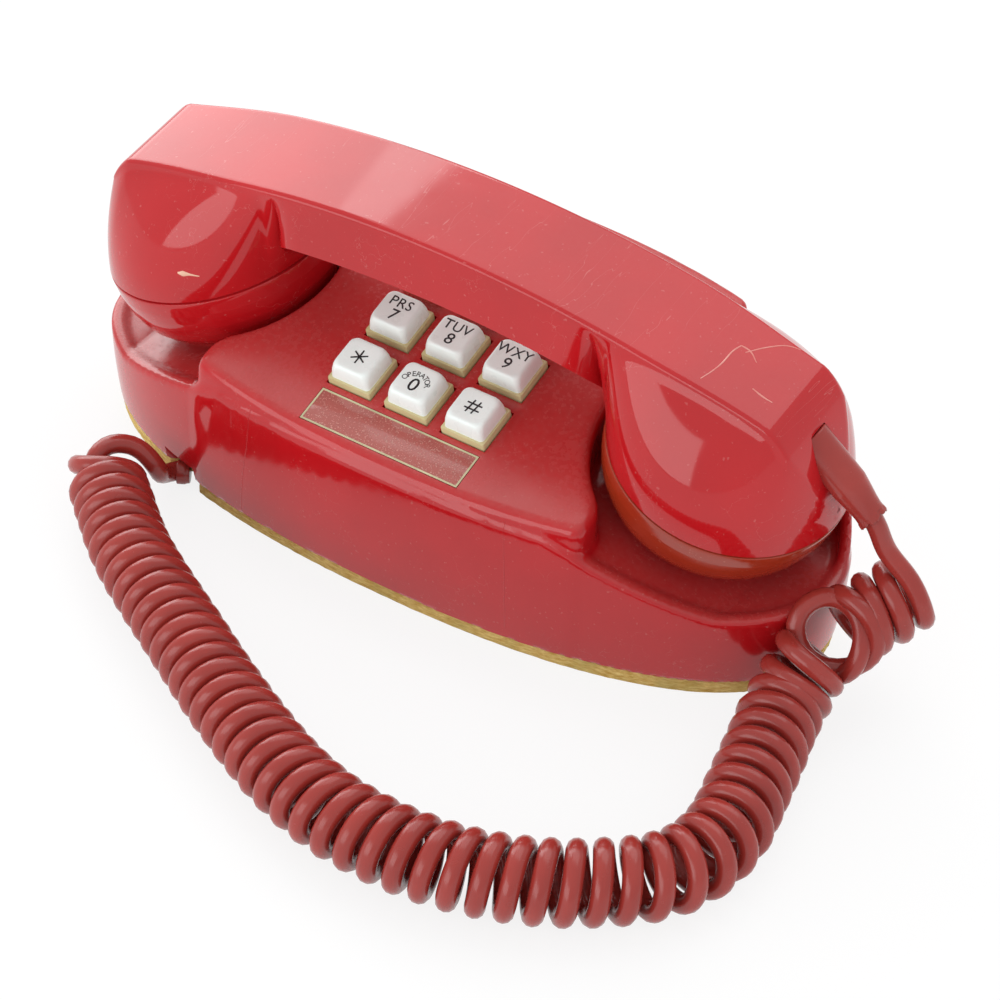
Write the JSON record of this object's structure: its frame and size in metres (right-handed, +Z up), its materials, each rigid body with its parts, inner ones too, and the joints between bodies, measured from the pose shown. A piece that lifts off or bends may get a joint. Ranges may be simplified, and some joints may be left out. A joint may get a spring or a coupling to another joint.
{
  "type": "push-button telephone",
  "caption": "Compact desk telephone with an oval base, sloping push-button field, number card window, cradled handset and curly cord.",
  "frame": {"origin": "centre of the base's oval footprint, on the surface it stands on", "axes": "+X to the user's right along the handset, +Y to the back away from the user, +Z up; the key field faces -Y and up"},
  "size_m": [0.2482, 0.1827, 0.1013],
  "materials": {
    "red_plastic": "glossy moulded plastic, lightly scuffed",
    "orange_red_plastic": "satin moulded plastic, a more orange red",
    "white_key": "glossy white moulded plastic with black legends",
    "ivory_skirt": "aged ivory moulded plastic",
    "clear_plastic": "clear acrylic, dusty",
    "card": "paper card",
    "fibre_pad": "tan fibre board pad",
    "base_steel": "plated sheet steel",
    "bracket_steel": "plated sheet steel",
    "steel": "bright steel",
    "unit_metal": "aluminium capsule",
    "brass": "brass",
    "board": "laminate circuit board",
    "dark_plastic": "dark moulded plastic",
    "brown_plastic": "brown phenolic plastic",
    "dark_rubber": "black rubber",
    "white_plastic": "off-white nylon",
    "coil_wire": "lacquered winding with tape",
    "lamp_glass": "clear glass lamp",
    "cord_vinyl": "soft vinyl, satin"
  },
  "bodies": {
    "base": {"housing": "red_plastic", "base_plate": "base_steel", "base_pad": "fibre_pad", "housing_screws": "steel", "number_window": "clear_plastic", "number_card": "card", "keypad_frame": "dark_plastic", "keypad_board": "board", "contact_leaves": "brass", "keypad_bracket": "bracket_steel", "network_block": "brown_plastic", "terminal_screws": "brass", "lever_bearings": "bracket_steel", "hook_switch_block": "brown_plastic", "hook_switch_springs": "brass", "ringer_frame": "bracket_steel", "ringer_coil": "coil_wire", "ringer_gong": "steel", "gong_screw": "steel", "dial_lamp": "lamp_glass", "lamp_socket": "bracket_steel", "line_inlet": "dark_rubber", "cord_inlet": "white_plastic", "cord_lead_lower": "cord_vinyl", "cord_coil": "cord_vinyl", "cord_lead_upper": "cord_vinyl"},
    "key_1": {"key_1_cap": "white_key", "key_1_skirt": "ivory_skirt"},
    "key_2": {"key_2_cap": "white_key", "key_2_skirt": "ivory_skirt"},
    "key_3": {"key_3_cap": "white_key", "key_3_skirt": "ivory_skirt"},
    "key_4": {"key_4_cap": "white_key", "key_4_skirt": "ivory_skirt"},
    "key_5": {"key_5_cap": "white_key", "key_5_skirt": "ivory_skirt"},
    "key_6": {"key_6_cap": "white_key", "key_6_skirt": "ivory_skirt"},
    "key_7": {"key_7_cap": "white_key", "key_7_skirt": "ivory_skirt"},
    "key_8": {"key_8_cap": "white_key", "key_8_skirt": "ivory_skirt"},
    "key_9": {"key_9_cap": "white_key", "key_9_skirt": "ivory_skirt"},
    "key_star": {"key_star_cap": "white_key", "key_star_skirt": "ivory_skirt"},
    "key_0": {"key_0_cap": "white_key", "key_0_skirt": "ivory_skirt"},
    "key_hash": {"key_hash_cap": "white_key", "key_hash_skirt": "ivory_skirt"},
    "handset": {"handset_handle": "red_plastic", "receiver_cap": "red_plastic", "transmitter_cap": "orange_red_plastic", "receiver_unit": "steel", "transmitter_unit": "unit_metal", "cord_boot": "cord_vinyl"},
    "left_plunger": {"left_plunger": "white_plastic"},
    "right_plunger": {"right_plunger": "white_plastic"},
    "hook_lever": {"hook_lever": "steel"},
    "clapper": {"clapper": "steel"}
  },
  "joints": [
    {"name": "key_1_press", "type": "slide", "parent": "base", "child": "key_1", "axis": [0, 0.2689, -0.9632], "range_m": [0, 0.003], "stiffness_N_per_m": 250, "springref_m": -0.002},
    {"name": "key_2_press", "type": "slide", "parent": "base", "child": "key_2", "axis": [0, 0.2689, -0.9632], "range_m": [0, 0.003], "stiffness_N_per_m": 250, "springref_m": -0.002},
    {"name": "key_3_press", "type": "slide", "parent": "base", "child": "key_3", "axis": [0, 0.2689, -0.9632], "range_m": [0, 0.003], "stiffness_N_per_m": 250, "springref_m": -0.002},
    {"name": "key_4_press", "type": "slide", "parent": "base", "child": "key_4", "axis": [0, 0.2689, -0.9632], "range_m": [0, 0.003], "stiffness_N_per_m": 250, "springref_m": -0.002},
    {"name": "key_5_press", "type": "slide", "parent": "base", "child": "key_5", "axis": [0, 0.2689, -0.9632], "range_m": [0, 0.003], "stiffness_N_per_m": 250, "springref_m": -0.002},
    {"name": "key_6_press", "type": "slide", "parent": "base", "child": "key_6", "axis": [0, 0.2689, -0.9632], "range_m": [0, 0.003], "stiffness_N_per_m": 250, "springref_m": -0.002},
    {"name": "key_7_press", "type": "slide", "parent": "base", "child": "key_7", "axis": [0, 0.2689, -0.9632], "range_m": [0, 0.003], "stiffness_N_per_m": 250, "springref_m": -0.002},
    {"name": "key_8_press", "type": "slide", "parent": "base", "child": "key_8", "axis": [0, 0.2689, -0.9632], "range_m": [0, 0.003], "stiffness_N_per_m": 250, "springref_m": -0.002},
    {"name": "key_9_press", "type": "slide", "parent": "base", "child": "key_9", "axis": [0, 0.2689, -0.9632], "range_m": [0, 0.003], "stiffness_N_per_m": 250, "springref_m": -0.002},
    {"name": "key_star_press", "type": "slide", "parent": "base", "child": "key_star", "axis": [0, 0.2689, -0.9632], "range_m": [0, 0.003], "stiffness_N_per_m": 250, "springref_m": -0.002},
    {"name": "key_0_press", "type": "slide", "parent": "base", "child": "key_0", "axis": [0, 0.2689, -0.9632], "range_m": [0, 0.003], "stiffness_N_per_m": 250, "springref_m": -0.002},
    {"name": "key_hash_press", "type": "slide", "parent": "base", "child": "key_hash", "axis": [0, 0.2689, -0.9632], "range_m": [0, 0.003], "stiffness_N_per_m": 250, "springref_m": -0.002},
    {"name": "handset_lift", "type": "slide", "parent": "base", "child": "handset", "axis": [0, 0, 1], "range_m": [0, 0.12]},
    {"name": "left_plunger_rise", "type": "slide", "parent": "base", "child": "left_plunger", "axis": [0, 0, 1], "range_m": [0, 0.0035]},
    {"name": "right_plunger_rise", "type": "slide", "parent": "base", "child": "right_plunger", "axis": [0, 0, 1], "range_m": [0, 0.0035]},
    {"name": "hook_lever_turn", "type": "hinge", "parent": "base", "child": "hook_lever", "pos_m": [0, 0.027, 0.016], "axis": [-1, 0, 0], "range_deg": [0, 13.4], "stiffness_Nm_per_rad": 0.0003, "springref_deg": 48.7},
    {"name": "clapper_swing", "type": "hinge", "parent": "base", "child": "clapper", "pos_m": [0.0446, 0.0046, 0.0117], "axis": [0, 0, 1], "range_deg": [-3, 2.3], "stiffness_Nm_per_rad": 0.002}
  ],
  "couplings": [
    {"joint": "left_plunger_rise", "follows": "handset_lift", "ratio": 0.029},
    {"joint": "right_plunger_rise", "follows": "handset_lift", "ratio": 0.029},
    {"joint": "hook_lever_turn", "follows": "handset_lift", "rad_per_m": 1.93}
  ]
}
